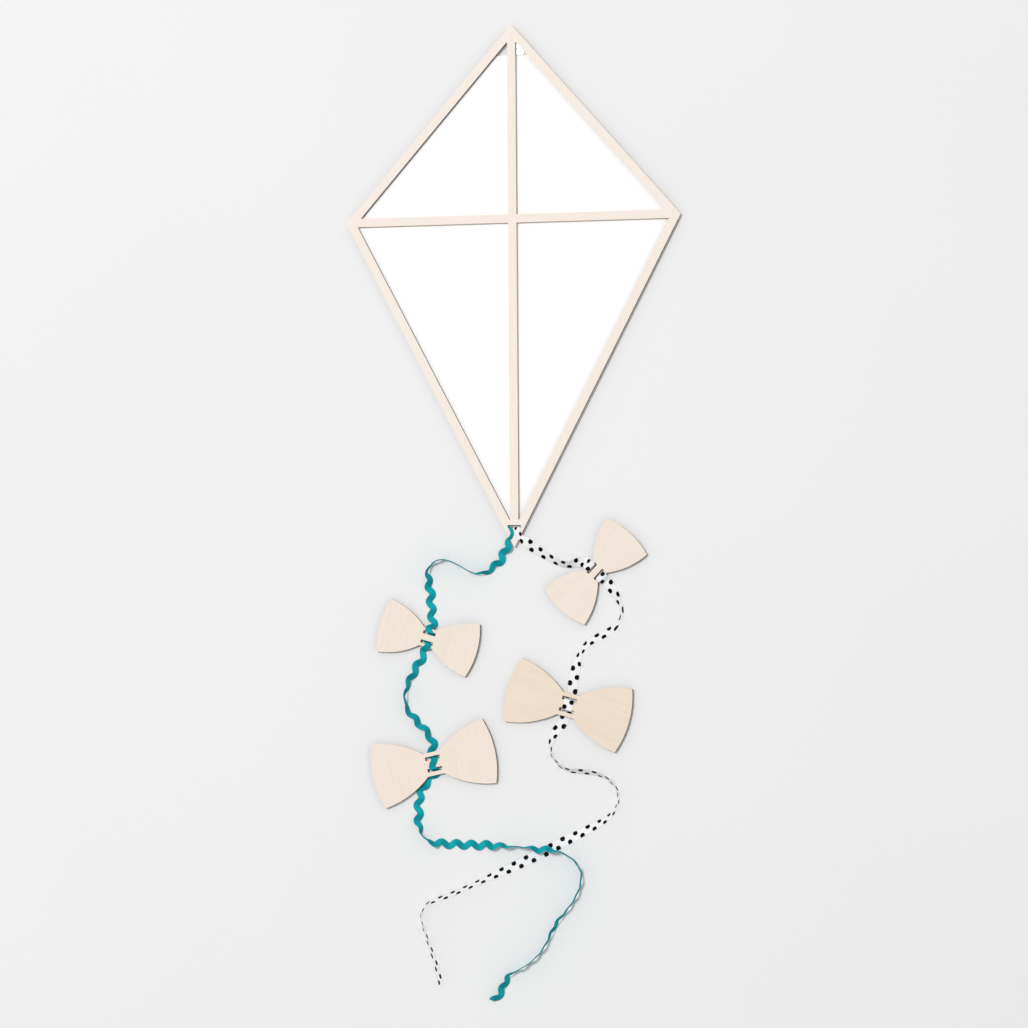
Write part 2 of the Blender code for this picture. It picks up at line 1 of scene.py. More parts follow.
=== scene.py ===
"""The looks of a diamond kite ornament: a laser-cut plywood frame over a white card sail, a ric-rac
tail and a dotted satin tail, and four plywood bows threaded on them. Metres, +Z out of the front."""

import math

import bpy
import numpy as np
from mathutils import Matrix, Vector


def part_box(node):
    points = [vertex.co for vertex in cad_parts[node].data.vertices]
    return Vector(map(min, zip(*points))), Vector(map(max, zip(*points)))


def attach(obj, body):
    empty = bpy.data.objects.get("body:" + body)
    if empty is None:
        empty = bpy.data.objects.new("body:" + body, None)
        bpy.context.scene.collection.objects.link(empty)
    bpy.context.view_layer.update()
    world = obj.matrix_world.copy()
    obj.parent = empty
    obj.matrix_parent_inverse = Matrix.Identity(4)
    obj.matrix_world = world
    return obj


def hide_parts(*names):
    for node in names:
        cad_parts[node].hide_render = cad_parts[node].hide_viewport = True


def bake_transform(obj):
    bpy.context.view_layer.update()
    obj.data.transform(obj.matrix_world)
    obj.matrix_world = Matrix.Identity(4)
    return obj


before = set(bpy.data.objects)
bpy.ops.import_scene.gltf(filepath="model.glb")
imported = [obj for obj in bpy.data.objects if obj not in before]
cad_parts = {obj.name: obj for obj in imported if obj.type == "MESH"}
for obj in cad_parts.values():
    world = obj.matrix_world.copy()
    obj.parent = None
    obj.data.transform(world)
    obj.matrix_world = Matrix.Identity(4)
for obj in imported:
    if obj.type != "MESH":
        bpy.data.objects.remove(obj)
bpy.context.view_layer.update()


# ---------------------------------------------------------------- the table, the light, the camera
# A matt white board to lie on, one broad window high on the left beyond the nose, and pale walls
# all round that fill the shadows. The camera stands three metres off, a little to the right.
def linear(hex_colour):
    """An sRGB hex value as a linear colour."""
    channels = [int(hex_colour[i : i + 2], 16) / 255 for i in (0, 2, 4)]
    return tuple(c / 12.92 if c <= 0.04045 else ((c + 0.055) / 1.055) ** 2.4 for c in channels) + (1.0,)


def add(tree, kind, inputs=None, **settings):
    """Adds a node with its settings. An input takes a value, the socket that feeds it, or a node
    whose first output feeds it."""
    node = tree.nodes.new(kind)
    for name, value in settings.items():
        setattr(node, name, value)
    for key, value in (inputs or {}).items():
        if isinstance(value, bpy.types.Node):
            value = value.outputs[0]
        if isinstance(value, bpy.types.NodeSocket):
            tree.links.new(value, node.inputs[key])
        else:
            node.inputs[key].default_value = value
    return node


def new_finish(name):
    """An empty material and its tree."""
    finish = bpy.data.materials.new(name)
    finish.use_nodes = True
    finish.node_tree.nodes.clear()
    return finish, finish.node_tree


# Matt board: white, with a tooth too fine to see and a barely uneven tone.
board, tree = new_finish("matt_white_board")
place = add(tree, "ShaderNodeTexCoord").outputs["Object"]
cloud = add(tree, "ShaderNodeTexNoise", {"Vector": place, "Scale": 2.5, "Detail": 2.0})
whites = {"Factor": cloud, 6: linear("E8E8E8"), 7: linear("ECECEC")}
tone = add(tree, "ShaderNodeMix", whites, data_type="RGBA").outputs[2]
shader = add(tree, "ShaderNodeBsdfPrincipled", {"Base Color": tone, "Roughness": 0.9})
shader.inputs["Specular IOR Level"].default_value = 0.2
add(tree, "ShaderNodeOutputMaterial", {"Surface": shader})

FLOOR_SIZE = 14.0
FLOOR_DROP = 0.0002  # the sail's back and the floor would otherwise share a plane
bpy.ops.mesh.primitive_plane_add(size=FLOOR_SIZE, location=(0.0, 0.0, -FLOOR_DROP))
floor = bpy.context.object
floor.name = "floor"
floor.data.materials.append(board)

world = bpy.data.worlds.new("pale_room")
world.use_nodes = True
world.node_tree.nodes["Background"].inputs["Color"].default_value = linear("F4F6F8")
world.node_tree.nodes["Background"].inputs["Strength"].default_value = 0.55
bpy.context.scene.world = world

window_light = bpy.data.lights.new("window", "AREA")
window_light.shape = "DISK"
window_light.size = 1.5
window_light.energy = 246.0
window_light.color = linear("FFFEFC")[:3]
window = bpy.data.objects.new("window", window_light)
window.location = (-1.6, 1.2, 6.1)
ornament_middle = Vector((0.0, -0.25, 0.0))
window.rotation_euler = (ornament_middle - window.location).to_track_quat("-Z", "Y").to_euler()
bpy.context.scene.collection.objects.link(window)

SENSOR = 36.0
FOCAL_SHARE = 3.4047  # focal length over the sensor's width
camera_data = bpy.data.cameras.new("camera")
camera_data.sensor_width = SENSOR
camera_data.lens = SENSOR * FOCAL_SHARE
camera_data.clip_end = 100.0
camera = bpy.data.objects.new("camera", camera_data)
bpy.context.scene.collection.objects.link(camera)
# Where the kite is and how it is turned, as the camera sees it.
KITE_PLACE = (-0.0016, 0.2660, -3.1499)
KITE_TURNS = (("Z", 0.384), ("X", -3.355), ("Y", -9.360))  # degrees, the last one first
kite_from_camera = Matrix.Translation(KITE_PLACE)
for axis, degrees in KITE_TURNS:
    kite_from_camera = kite_from_camera @ Matrix.Rotation(math.radians(degrees), 4, axis)
face_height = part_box("frame")[1].z
camera.matrix_world = Matrix.Translation((0.0, 0.0, face_height)) @ kite_from_camera.inverted()
bpy.context.scene.camera = camera
bpy.context.scene.view_settings.view_transform = "Standard"


# ---------------------------------------------------------------- frame
# Spine, spar and edges are one piece, laser-cut from 3 mm birch plywood: a pale, close-grained
# face and a cut wall that the beam has scorched dark brown, with its three plies still showing.
PLIES = 3
PLY_THICKNESS = 0.0030
# Length along the grain and width across it, in metres, of what shows in the veneer.
FIBRES = (0.030, 0.0009)
CLOUDS = (0.050, 0.022)
GROWTH_BANDS = (0.120, 0.0050)
PORES = (0.0030, 0.00035)
BEAM_STREAKS = 900.0  # per metre of cut wall
STICK_EDGE = (0.0045, 0.0065)  # the painted light on the walls beside the spine and the spar fades out between these


def plywood(name, middle, turn_degrees, light, dark, back):
    """Plywood with its face grain turned that far from the x axis, and three scorched plies."""
    finish, tree = new_finish(name)
    coordinates = add(tree, "ShaderNodeTexCoord")
    solid = coordinates.outputs["Object"]
    turned = (0.0, 0.0, math.radians(turn_degrees))

    veneer = {}
    for what, (length, width), detail in (
        ("fibre", FIBRES, {"Detail": 5.0, "Roughness": 0.6}),
        ("cloud", CLOUDS, {"Detail": 2.0}),
        ("growth", GROWTH_BANDS, {"Detail": 3.0, "Distortion": 0.8}),
        ("pore", PORES, {"Detail": 1.0}),
    ):
        grain = {"Location": (*middle, 0.0), "Rotation": turned, "Scale": (length, width, width)}
        space = add(tree, "ShaderNodeMapping", {"Vector": solid, **grain}, vector_type="TEXTURE")
        veneer[what] = add(tree, "ShaderNodeTexNoise", {"Vector": space, "Scale": 1.0, **detail})
    streak = add(tree, "ShaderNodeMapRange", {"Value": veneer["fibre"], 1: 0.30, 2: 0.80})
    clouds = {"Factor": veneer["cloud"], 6: linear("FFFCF6"), 7: linear("FAF1EA")}
    cast = add(tree, "ShaderNodeMix", clouds, data_type="RGBA").outputs[2]
    late = add(tree, "ShaderNodeMapRange", {"Value": veneer["growth"], 1: 0.38, 2: 0.66})
    late = add(tree, "ShaderNodeMath", {0: late, 1: 0.22}, operation="MULTIPLY")
    fleck = add(tree, "ShaderNodeMapRange", {"Value": veneer["pore"], 1: 0.62, 2: 0.74, 3: 0.0, 4: 0.20})
    wood = linear(light)
    for share, colour, laid_on in (
        (streak, linear(dark), "MIX"),
        (0.5, cast, "MULTIPLY"),
        (late, linear(dark), "MIX"),
        (fleck, linear("D8BFA8"), "MIX"),
    ):
        layer = {"Factor": share, 6: wood, 7: colour}
        wood = add(tree, "ShaderNodeMix", layer, data_type="RGBA", blend_type=laid_on).outputs[2]

    # The cut wall: scorched plies, the cross ply darkest, with upright streaks left by the beam.
    spot = add(tree, "ShaderNodeSeparateXYZ", {0: solid})
    up = {"Value": spot.outputs["Z"], 1: back, 2: back + PLY_THICKNESS, 4: float(PLIES)}
    height = add(tree, "ShaderNodeMapRange", up)
    ply = add(tree, "ShaderNodeMath", {0: height, 1: 0.5}, operation="SUBTRACT")
    ply = add(tree, "ShaderNodeMath", {0: ply, 1: math.pi}, operation="MULTIPLY")
    ply = add(tree, "ShaderNodeMath", {0: ply}, operation="COSINE")
    cross_ply = add(tree, "ShaderNodeMapRange", {"Value": ply, 1: -1.0, 2: 1.0})
    beam = add(tree, "ShaderNodeTexNoise", {"Vector": solid, "Scale": BEAM_STREAKS, "Detail": 1.0})
    char = linear("24160E")
    for share, colour in ((cross_ply, "3E2A1D"), (beam, "2A1B12")):
        layer = {"Factor": share, 6: char, 7: linear(colour)}
        char = add(tree, "ShaderNodeMix", layer, data_type="RGBA").outputs[2]
    # Painted light: the walls beside the spine and the spar are painted pale brown, not scorched dark, so
    # these window edges look less shaded.
    from_spine = add(tree, "ShaderNodeMath", {0: spot.outputs["X"]}, operation="ABSOLUTE")
    from_spar = add(tree, "ShaderNodeMath", {0: spot.outputs["Y"]}, operation="ABSOLUTE")
    nearest = add(tree, "ShaderNodeMath", {0: from_spine, 1: from_spar}, operation="MINIMUM")
    painted_light_fade = add(tree, "ShaderNodeMapRange", {"Value": nearest, 1: STICK_EDGE[0], 2: STICK_EDGE[1]})
    layer = {"Factor": painted_light_fade, 6: linear("C2AD98"), 7: char}
    char = add(tree, "ShaderNodeMix", layer, data_type="RGBA").outputs[2]

    # A face looks up or down, a wall looks sideways.
    facing = add(tree, "ShaderNodeSeparateXYZ", {0: coordinates.outputs["Normal"]})
    upright = add(tree, "ShaderNodeMath", {0: facing.outputs["Z"]}, operation="ABSOLUTE")
    cut = add(tree, "ShaderNodeMapRange", {"Value": upright, 1: 0.97, 2: 0.60})
    layer = {"Factor": cut, 6: wood, 7: char}
    colour = add(tree, "ShaderNodeMix", layer, data_type="RGBA").outputs[2]
    bump = add(tree, "ShaderNodeBump", {"Height": veneer["fibre"], "Strength": 0.25, "Distance": 0.0001})
    shader = add(tree, "ShaderNodeBsdfPrincipled", {"Base Color": colour, "Normal": bump})
    shader.inputs["Roughness"].default_value = 0.62
    shader.inputs["Specular IOR Level"].default_value = 0.06
    add(tree, "ShaderNodeOutputMaterial", {"Surface": shader})
    return finish


def dress(node, finish, edge_width=0.00012):
    """Gives a CAD node its finish, and softens its cut edges as light sanding does."""
    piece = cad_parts[node]
    piece.data.materials.clear()
    piece.data.materials.append(finish)
    if edge_width:
        weld = piece.modifiers.new("weld", "WELD")
        weld.merge_threshold = 0.000002
        edge = piece.modifiers.new("sanded_edge", "BEVEL")
        edge.width = edge_width
        edge.segments = 2
        edge.limit_method = "ANGLE"
        edge.angle_limit = math.radians(50)
    return piece


frame_finish = plywood("birch_plywood_frame", (0.0, 0.0), 90.0, "F6EFE8", "EDE2D9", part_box("frame")[0].z)
dress("frame", frame_finish)


# ---------------------------------------------------------------- sail
# One sheet of smooth white card glued behind the frame. Its fibres give the white a soft tooth.
card, tree = new_finish("smooth_white_card")
place = add(tree, "ShaderNodeTexCoord").outputs["Object"]
FIBRE_SIZE = 0.0008
fibres = add(tree, "ShaderNodeTexNoise", {"Vector": place, "Scale": 1 / FIBRE_SIZE, "Detail": 3.0})
whites = {"Factor": fibres, 6: linear("FCFCFB"), 7: linear("FFFFFF")}
tone = add(tree, "ShaderNodeMix", whites, data_type="RGBA").outputs[2]
bump = add(tree, "ShaderNodeBump", {"Height": fibres, "Strength": 0.1, "Distance": 0.00005})
shader = add(tree, "ShaderNodeBsdfPrincipled", {"Base Color": tone, "Normal": bump})
shader.inputs["Roughness"].default_value = 0.75
add(tree, "ShaderNodeOutputMaterial", {"Surface": shader})
dress("sail", card, 0.0)


# ---------------------------------------------------------------- hanger plate and nails
# A snipped piece of zinc-plated sheet steel, rolled grey with fine lines across it, held behind
# the nose by two bright wire nails with pressed flat heads.
ROLLING_LINES = (0.008, 0.00012, 0.001)  # metres along, across and through the sheet


def plated_steel(name, light, dark, roughness):
    """Grey metal with rolling lines along x."""
    finish, tree = new_finish(name)
    place = add(tree, "ShaderNodeTexCoord").outputs["Object"]
    drawn_out = {"Vector": place, "Scale": ROLLING_LINES}
    lined = add(tree, "ShaderNodeMapping", drawn_out, vector_type="TEXTURE")
    lines = add(tree, "ShaderNodeTexNoise", {"Vector": lined, "Scale": 1.0, "Detail": 3.0})
    greys = {"Factor": lines, 6: linear(light), 7: linear(dark)}
    tone = add(tree, "ShaderNodeMix", greys, data_type="RGBA").outputs[2]
    bump = add(tree, "ShaderNodeBump", {"Height": lines, "Strength": 0.2, "Distance": 0.00003})
    shader = add(tree, "ShaderNodeBsdfPrincipled", {"Base Color": tone, "Normal": bump})
    shader.inputs["Metallic"].default_value = 1.0
    shader.inputs["Roughness"].default_value = roughness
    add(tree, "ShaderNodeOutputMaterial", {"Surface": shader})
    return finish


plate_finish = plated_steel("zinc_plated_sheet", "C2C7CA", "A6ADB0", 0.42)
dress("hanger_plate", plate_finish, 0.00005)
nail_finish = plated_steel("bright_nail_wire", "CFCFCD", "B4B4B2", 0.30)
for nail in ("hanger_nail_1", "hanger_nail_2"):
    dress(nail, nail_finish, 0.00008)


# ---------------------------------------------------------------- bows
# Four bows, laser-cut from 3 mm basswood plywood, each from another place in the sheet: the grain
# runs its own way on each. For each: its centre from the tail tip, its long axis in degrees, the
# bars that its ribbon lies over, the way of its face grain in degrees, and two tones of its wood.
TAIL_TIP = -0.2968
BOWS = {
    "bow_teal_upper": ((-0.0792, -0.0797), -16.5, "outer", 72.0, "F2E9DF", "E9DDD0"),
    "bow_teal_lower": ((-0.0746, -0.1923), 12.5, "middle", 102.0, "F3E9DF", "EADCCF"),
    "bow_dotted_upper": ((0.0729, -0.0221), 47.5, "outer", 40.0, "F3EAE1", "E9DDD1"),
    "bow_dotted_lower": ((0.0473, -0.1408), -16.0, "middle", -20.0, "F0E4D5", "E6D5C4"),
}


def bow_middle(bow):
    """A bow's centre in plan."""
    (across, along), *_ = BOWS[bow]
    return Vector((across, TAIL_TIP + along))


for bow, (_, _, _, grain_degrees, light, dark) in BOWS.items():
    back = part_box(bow)[0].z
    bow_finish = plywood(f"basswood_plywood_{bow}", bow_middle(bow), grain_degrees, light, dark, back)
    dress(bow, bow_finish)


# ---------------------------------------------------------------- the tails' routes
# Both tails are glued behind the tail tip, come up through the slot and wander over the table on
# their edge or flat, through the slots of two bows each. Points: x and y in metres from the tail
# tip, lean in degrees (0 flat, 90 on edge, positive lifts the left edge), height (0 on the table,
# 1 on the plywood).
TEAL_HEAD = [
    (-0.0032, 0.0093, 0, 1), (-0.0062, 0.0030, 0, 0.95), (-0.0092, -0.0032, 0, 0.55),
    (-0.0122, -0.0092, -10, 0.18), (-0.0165, -0.0142, -32, 0), (-0.0220, -0.0192, -50, 0),
    (-0.0280, -0.0222, -66, 0), (-0.0345, -0.0227, -82, 0), (-0.0415, -0.0202, -90, 0),
    (-0.0485, -0.0162, -88, 0), (-0.0560, -0.0122, -86, 0), (-0.0635, -0.0097, -88, 0),
    (-0.0710, -0.0107, -90, 0), (-0.0770, -0.0152, -90, 0), (-0.0795, -0.0217, -76, 0),
    (-0.0785, -0.0287, -38, 0), (-0.0775, -0.0372, -8, 0), (-0.0770, -0.0472, 0, 0),
    (-0.0765, -0.0567, 0, 0),
]
TEAL_MIDDLE = [
    (-0.0860, -0.0982, -8, 0), (-0.0900, -0.1057, -24, 0), (-0.0940, -0.1132, -40, 0),
    (-0.0975, -0.1207, -56, 0), (-0.1000, -0.1277, -76, 0), (-0.1005, -0.1342, -88, 0),
    (-0.0993, -0.1414, -68, 0), (-0.0953, -0.1479, -48, 0), (-0.0906, -0.1537, -36, 0),
    (-0.0856, -0.1589, -38, 0), (-0.0806, -0.1644, -44, 0), (-0.0772, -0.1700, -38, 0),
    (-0.0759, -0.1747, -16, 0), (-0.0766, -0.1808, 0, 0),
]
TEAL_END = [
    (-0.0752, -0.2035, 0, 0), (-0.0792, -0.2069, 0, 0), (-0.0832, -0.2112, 0, 0),
    (-0.0866, -0.2170, 0, 0), (-0.0888, -0.2244, 0, 0), (-0.0893, -0.2326, 0, 0),
    (-0.0892, -0.2400, -14, 0), (-0.0885, -0.2467, -42, 0), (-0.0865, -0.2537, -84, 0),
    (-0.0825, -0.2592, -90, 0), (-0.0770, -0.2622, -58, 0), (-0.0695, -0.2637, -14, 0),
    (-0.0600, -0.2642, 0, 0), (-0.0485, -0.2647, 0, 0), (-0.0370, -0.2652, -2, 0),
    (-0.0255, -0.2652, -20, 0), (-0.0150, -0.2657, -50, 0), (-0.0045, -0.2662, -82, 0),
    (0.0050, -0.2667, -88, 0.12), (0.0130, -0.2677, -66, 0.25), (0.0200, -0.2687, -36, 0.29),
    (0.0280, -0.2692, -44, 0.29), (0.0360, -0.2702, -80, 0.29), (0.0440, -0.2732, -88, 0.21),
    (0.0515, -0.2787, -88, 0.08), (0.0570, -0.2867, -88, 0), (0.0580, -0.2962, -87, 0),
    (0.0550, -0.3067, -86, 0), (0.0490, -0.3172, -86, 0), (0.0415, -0.3267, -80, 0),
    (0.0355, -0.3342, -68, 0), (0.0315, -0.3417, -72, 0), (0.0275, -0.3497, -84, 0),
    (0.0220, -0.3587, -86, 0), (0.0145, -0.3667, -88, 0), (0.0055, -0.3732, -88, 0),
    (-0.0030, -0.3777, -82, 0), (-0.0090, -0.3822, -56, 0), (-0.0120, -0.3887, -40, 0),
    (-0.0155, -0.3962, -38, 0), (-0.0225, -0.4037, -38, 0),
]
DOTTED_HEAD = [
    (0.0050, 0.0098, 0, 1), (0.0110, 0.0048, 6, 0.88), (0.0190, -0.0014, 22, 0.25),
    (0.0275, -0.0068, 36, 0), (0.0355, -0.0116, 48, 0), (0.0430, -0.0149, 54, 0),
    (0.0500, -0.0156, 50, 0), (0.0565, -0.0142, 22, 0),
]
DOTTED_MIDDLE = [
    (0.0874, -0.0377, 26, 0), (0.0918, -0.0442, 42, 0), (0.0951, -0.0512, 56, 0),
    (0.0966, -0.0582, 62, 0), (0.0955, -0.0644, 66, 0), (0.0923, -0.0696, 56, 0),
    (0.0870, -0.0742, 42, 0), (0.0810, -0.0777, 40, 0), (0.0740, -0.0812, 38, 0),
    (0.0670, -0.0852, 42, 0), (0.0615, -0.0907, 52, 0), (0.0580, -0.0972, 50, 0),
    (0.0553, -0.1047, 22, 0), (0.0533, -0.1122, 6, 0), (0.0518, -0.1192, 0, 0), (0.0506, -0.1293, 0, 0),
]
DOTTED_END = [
    (0.0440, -0.1523, 0, 0), (0.0405, -0.1587, 8, 0), (0.0360, -0.1642, 26, 0),
    (0.0330, -0.1702, 44, 0), (0.0315, -0.1767, 60, 0), (0.0320, -0.1832, 70, 0),
    (0.0350, -0.1897, 70, 0), (0.0405, -0.1952, 70, 0), (0.0470, -0.1987, 68, 0),
    (0.0545, -0.1997, 62, 0), (0.0620, -0.2002, 60, 0), (0.0690, -0.2012, 62, 0),
    (0.0760, -0.2032, 68, 0), (0.0825, -0.2067, 70, 0), (0.0880, -0.2117, 70, 0),
    (0.0915, -0.2182, 70, 0), (0.0920, -0.2252, 70, 0), (0.0900, -0.2322, 70, 0),
    (0.0855, -0.2382, 60, 0), (0.0795, -0.2432, 52, 0), (0.0715, -0.2477, 42, 0),
    (0.0625, -0.2522, 34, 0), (0.0530, -0.2572, 28, 0), (0.0430, -0.2618, 11, 0),
    (0.0330, -0.2670, 0, 0), (0.0220, -0.2725, 2, 0), (0.0095, -0.2784, 14, 0),
    (-0.0050, -0.2852, 26, 0), (-0.0200, -0.2916, 46, 0), (-0.0330, -0.2975, 60, 0),
    (-0.0460, -0.3032, 62, 0), (-0.0585, -0.3086, 62, 0), (-0.0700, -0.3129, 64, 0),
    (-0.0795, -0.3167, 70, 0), (-0.0855, -0.3227, 70, 0), (-0.0865, -0.3312, 72, 0),
    (-0.0830, -0.3432, 66, 0), (-0.0785, -0.3562, 60, 0), (-0.0730, -0.3727, 56, 0),
    (-0.0690, -0.3892, 52, 0),
]

PLY_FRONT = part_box("frame")[1].z
SAIL_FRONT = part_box("sail")[1].z
GAP = 0.0003
RIBBON_ROOM = 0.0006  # thickness that a ribbon takes up, with its curl
TABLE_LIFT = 0.0001
ON_TABLE = TABLE_LIFT + RIBBON_ROOM / 2
ON_FRAME = PLY_FRONT + GAP + RIBBON_ROOM / 2
ON_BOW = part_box("bow_teal_upper")[1].z + GAP + RIBBON_ROOM / 2

SLOT_EDGE = -0.279075  # the tail slot's edge on the tip's side
GATHERED_WIDTH = 0.0054
GATHERED_APART = 0.0004
FAN_OUT = 0.0080
GLUED_LENGTH = 0.0065
FOLD_LENGTH = 0.0030
CLIMB = 0.0020  # length in which a ribbon climbs through a bow's slot
SLOT_OFFSET = {"outer": 0.0043, "middle": 0.0053}  # the slots' middle lines from a bow's middle
HALF_WAIST = {"outer": 0.0085, "middle": 0.0105}
HALF_WOVEN = {"outer": 0.0135, "middle": 0.0075}  # half the ribbon that moves with a bow
FINE = 0.0001  # step between the rows of a route
POINTS_PER_SPAN = 40
FOLD_POINTS = 60
EASED_PLACE = 0.0030  # lengths over which a route's corners and twists are evened out
EASED_LEAN = 0.0060


def level_step(t):
    """0 to 1 with level ends."""
    t = np.clip(t, 0.0, 1.0)
    return t * t * (3.0 - 2.0 * t)


def along_curve(points):
    """Close points on one smooth curve through the given rows; only x and y set its pace. The
    square root of each step keeps the curve from looping between close points."""
    points = np.array(points, float)
    points = np.vstack([2 * points[0] - points[1], points, 2 * points[-1] - points[-2]])
    steps = np.linalg.norm(np.diff(points[:, :2], axis=0), axis=1) ** 0.5
    knots = np.concatenate([[0.0], np.cumsum(steps)])
    spans = []
    for i in range(1, len(points) - 2):
        p0, p1, p2, p3 = points[i - 1 : i + 3]
        t0, t1, t2, t3 = knots[i - 1 : i + 3]
        t = np.linspace(t1, t2, POINTS_PER_SPAN, endpoint=False)[:, None]
        ab = (p0 * (t1 - t) + p1 * (t - t0)) / (t1 - t0)
        bc = (p1 * (t2 - t) + p2 * (t - t1)) / (t2 - t1)
        cd = (p2 * (t3 - t) + p3 * (t - t2)) / (t3 - t2)
        abc = (ab * (t2 - t) + bc * (t - t0)) / (t2 - t0)
        bcd = (bc * (t3 - t) + cd * (t - t1)) / (t3 - t1)
        spans.append((abc * (t2 - t) + bcd * (t - t1)) / (t2 - t1))
    return np.vstack([*spans, points[-2:-1]])


def heading(bow):
    """The way a ribbon runs through a bow, square to the bow's long axis and away from the frame."""
    turned = math.radians(BOWS[bow][1])
    return np.array((math.sin(turned), -math.cos(turned)))


def lying(route, width):
    """The free run of a ribbon over the table: rows of middle and widthwise direction."""
    x, y, lean, height = along_curve(route).T
    y = y + TAIL_TIP
    lean = np.radians(lean)
    ahead = np.column_stack([np.gradient(x), np.gradient(y)])
    ahead /= np.linalg.norm(ahead, axis=1)[:, None]
    rise = np.abs(np.sin(lean)) * width / 2 + np.abs(np.cos(lean)) * RIBBON_ROOM / 2
    z = TABLE_LIFT + rise + height * (ON_FRAME - ON_TABLE)
    flat = np.cos(lean)
    return np.column_stack([x, y, z, -ahead[:, 1] * flat, ahead[:, 0] * flat, np.sin(lean)])


def woven(bow):
    """The ribbon's stretch through a bow's two slots, over the bars that it covers."""
    over = BOWS[bow][2]
    reach = np.arange(-HALF_WOVEN[over], HALF_WOVEN[over], FINE)
    crossed = level_step((np.abs(reach) - SLOT_OFFSET[over] + CLIMB / 2) / CLIMB)
    high = 1.0 - crossed
    if over == "outer":
        bar_edge = HALF_WAIST["outer"] + GAP
        high = crossed * (1.0 - level_step((np.abs(reach) - bar_edge) / (HALF_WOVEN[over] - bar_edge)))
    way = heading(bow)
    spots = np.array(bow_middle(bow)) + reach[:, None] * way
    rows = np.zeros((len(reach), 6))
    rows[:, :2] = spots
    rows[:, 2] = ON_TABLE + (ON_BOW - ON_TABLE) * high
    rows[:, 3:5] = (-way[1], way[0])
    return rows


def bow_ends(bow):
    """Route points just before and just after a bow's own stretch of ribbon."""
    middle = np.array(BOWS[bow][0])
    step_out = heading(bow) * (HALF_WOVEN[BOWS[bow][2]] + GAP)
    return [(*(middle + side * step_out), 0.0, 0.0) for side in (-1, 1)]


def tail_fold(side):
    """A ribbon's start: glued behind the tail tip, up through the slot and back over the wood."""
    low = SAIL_FRONT - RIBBON_ROOM / 2
    rise = (ON_FRAME - low) / 2
    bulge = 3 * GAP + RIBBON_ROOM / 2
    under = np.arange(SLOT_EDGE - GLUED_LENGTH, SLOT_EDGE - FOLD_LENGTH, FINE)
    turned = np.linspace(-math.pi / 2, math.pi / 2, FOLD_POINTS)
    y = np.concatenate([under, SLOT_EDGE - GAP + bulge * np.cos(turned), [SLOT_EDGE - FOLD_LENGTH]])
    z = np.concatenate([np.full(len(under), low), low + rise + rise * np.sin(turned), [ON_FRAME]])
    rows = np.zeros((len(y), 6))
    rows[:, 0] = side * (GATHERED_WIDTH + GATHERED_APART) / 2
    rows[:, 1], rows[:, 2], rows[:, 3] = y, z, 1.0
    return rows


def evened(values, span):
    """A running mean over that length, with the ends kept."""
    count = int(span / FINE) | 1
    padded = np.pad(values, ((count // 2, count // 2), (0, 0)), mode="edge")
    return np.column_stack([np.convolve(column, np.ones(count) / count, "valid") for column in padded.T])


def whole_tail(side, width, upper, lower, head, middle, end):
    """A ribbon from its glued end to its cut end: what its frame is at each length along it, and
    the six lengths where its pieces meet."""
    upper_in, upper_out = bow_ends(upper)
    lower_in, lower_out = bow_ends(lower)
    between = lying([upper_out, *middle, lower_in], width)
    runs = [
        lying([*head, upper_in], width),
        woven(upper),
        between,
        woven(lower),
        lying([lower_out, *end], width),
    ]
    fold = tail_fold(side)
    rows = np.vstack([fold, *runs])
    length = np.concatenate([[0.0], np.cumsum(np.linalg.norm(np.diff(rows[:, :3], axis=0), axis=1))])
    ends = np.cumsum([len(fold) + len(runs[0])] + [len(run) for run in runs[1:-1]])
    cuts = [(length[i - 1] + length[i]) / 2 for i in ends]
    cuts.insert(2, (cuts[1] + cuts[2]) / 2)
    even = np.arange(0.0, length[-1], FINE)
    rows = np.column_stack([np.interp(even, length, column) for column in rows.T])
    start = int(length[len(fold)] / FINE)
    rows[start:, :2] = evened(rows[start:, :2], EASED_PLACE)
    rows[start:, 3:] = evened(rows[start:, 3:], EASED_LEAN)
    onward = np.gradient(rows[:, :3], axis=0)
    onward /= np.linalg.norm(onward, axis=1)[:, None]
    widthwise = rows[:, 3:] - (rows[:, 3:] * onward).sum(1)[:, None] * onward
    widthwise /= np.linalg.norm(widthwise, axis=1)[:, None]
    fanned = level_step((even - length[len(fold)]) / FAN_OUT)
    widths = GATHERED_WIDTH + (width - GATHERED_WIDTH) * fanned
    frames = np.column_stack([rows[:, :3], onward, widthwise, np.cross(onward, widthwise), widths])
    return even, frames, [0.0, *cuts, even[-1]]


